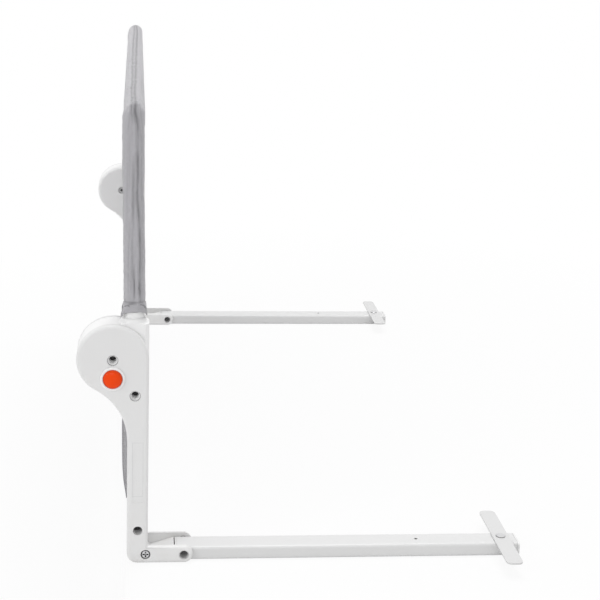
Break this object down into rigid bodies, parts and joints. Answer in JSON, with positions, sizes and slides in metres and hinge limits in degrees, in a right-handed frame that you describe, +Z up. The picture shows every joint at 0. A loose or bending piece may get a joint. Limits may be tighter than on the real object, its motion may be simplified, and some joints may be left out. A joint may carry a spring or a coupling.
{
  "type": "folding bed guard rail",
  "caption": "Swing-down bed guard: padded tube frame with mesh on two hinged ends, with button locks and fold-up legs that lie under the mattress.",
  "frame": {"origin": "middle of the whole part's box, on the surface it stands on", "axes": "+Z up, +Y along the guard, +X from the guard in over the bed, where the legs lie"},
  "size_m": [0.5404, 1.101, 0.553],
  "materials": {
    "white_plastic": "satin moulded plastic",
    "orange_plastic": "satin moulded plastic",
    "white_paint": "white powder coat on steel",
    "zinc_steel": "bright zinc plate",
    "grey_fabric": "woven polyester over a thin foam",
    "grey_mesh": "breathable knitted mesh"
  },
  "bodies": {
    "base": {"left_outer_shell": "white_plastic", "left_inner_shell": "white_plastic", "left_post_tube": "zinc_steel", "left_foot_block": "white_plastic", "left_pivot_screw": "zinc_steel", "left_pivot_nut": "zinc_steel", "left_housing_screw": "zinc_steel", "left_housing_nut": "zinc_steel", "left_foot_screw": "zinc_steel", "left_elbow_screw": "zinc_steel", "left_leg_sleeve": "zinc_steel", "left_button_ring": "white_plastic", "left_button_spring": "zinc_steel", "right_outer_shell": "white_plastic", "right_inner_shell": "white_plastic", "right_post_tube": "zinc_steel", "right_foot_block": "white_plastic", "right_pivot_screw": "zinc_steel", "right_pivot_nut": "zinc_steel", "right_housing_screw": "zinc_steel", "right_housing_nut": "zinc_steel", "right_foot_screw": "zinc_steel", "right_elbow_screw": "zinc_steel", "right_leg_sleeve": "zinc_steel", "right_button_ring": "white_plastic", "right_button_spring": "zinc_steel", "skirt_rod": "zinc_steel", "skirt": "grey_fabric"},
    "rail": {"left_hinge_disc": "white_plastic", "left_upright_tube": "white_paint", "left_frame_corner": "white_plastic", "left_cross_plug": "white_plastic", "left_cross_screw": "zinc_steel", "right_hinge_disc": "white_plastic", "right_upright_tube": "white_paint", "right_frame_corner": "white_plastic", "right_cross_plug": "white_plastic", "right_cross_screw": "zinc_steel", "top_tube": "white_paint", "cross_tube": "white_paint", "cover": "grey_fabric", "mesh_panel": "grey_mesh"},
    "left_button": {"left_button": "orange_plastic", "left_lock_pin": "zinc_steel"},
    "left_leg": {"left_leg_tube": "white_paint", "left_leg_plug": "white_plastic", "left_leg_cap": "white_plastic", "left_plate_rivet": "zinc_steel"},
    "left_plate": {"left_anchor_plate": "white_paint"},
    "right_button": {"right_button": "orange_plastic", "right_lock_pin": "zinc_steel"},
    "right_leg": {"right_leg_tube": "white_paint", "right_leg_plug": "white_plastic", "right_leg_cap": "white_plastic", "right_plate_rivet": "zinc_steel"},
    "right_plate": {"right_anchor_plate": "white_paint"}
  },
  "joints": [
    {"name": "rail_fold", "type": "hinge", "parent": "base", "child": "rail", "pos_m": [-0.22815, 0, 0.256], "axis": [0, -1, 0], "range_deg": [0, 180]},
    {"name": "left_button_press", "type": "slide", "parent": "base", "child": "left_button", "axis": [0, 1, 0], "range_m": [0, 0.004], "stiffness_N_per_m": 300, "springref_m": -0.005, "deforming": ["left_button_spring"]},
    {"name": "left_leg_fold", "type": "hinge", "parent": "base", "child": "left_leg", "pos_m": [-0.14265, -0.4775, 0.0106], "axis": [0, -1, 0], "range_deg": [0, 90]},
    {"name": "left_plate_turn", "type": "hinge", "parent": "left_leg", "child": "left_plate", "pos_m": [0.24935, -0.4775, 0.0187], "axis": [0, 0, 1], "range_deg": [-90, 90]},
    {"name": "right_button_press", "type": "slide", "parent": "base", "child": "right_button", "axis": [0, -1, 0], "range_m": [0, 0.004], "stiffness_N_per_m": 300, "springref_m": -0.005, "deforming": ["right_button_spring"]},
    {"name": "right_leg_fold", "type": "hinge", "parent": "base", "child": "right_leg", "pos_m": [-0.14265, 0.4775, 0.0106], "axis": [0, -1, 0], "range_deg": [0, 90]},
    {"name": "right_plate_turn", "type": "hinge", "parent": "right_leg", "child": "right_plate", "pos_m": [0.24935, 0.4775, 0.0187], "axis": [0, 0, 1], "range_deg": [-90, 90]}
  ]
}
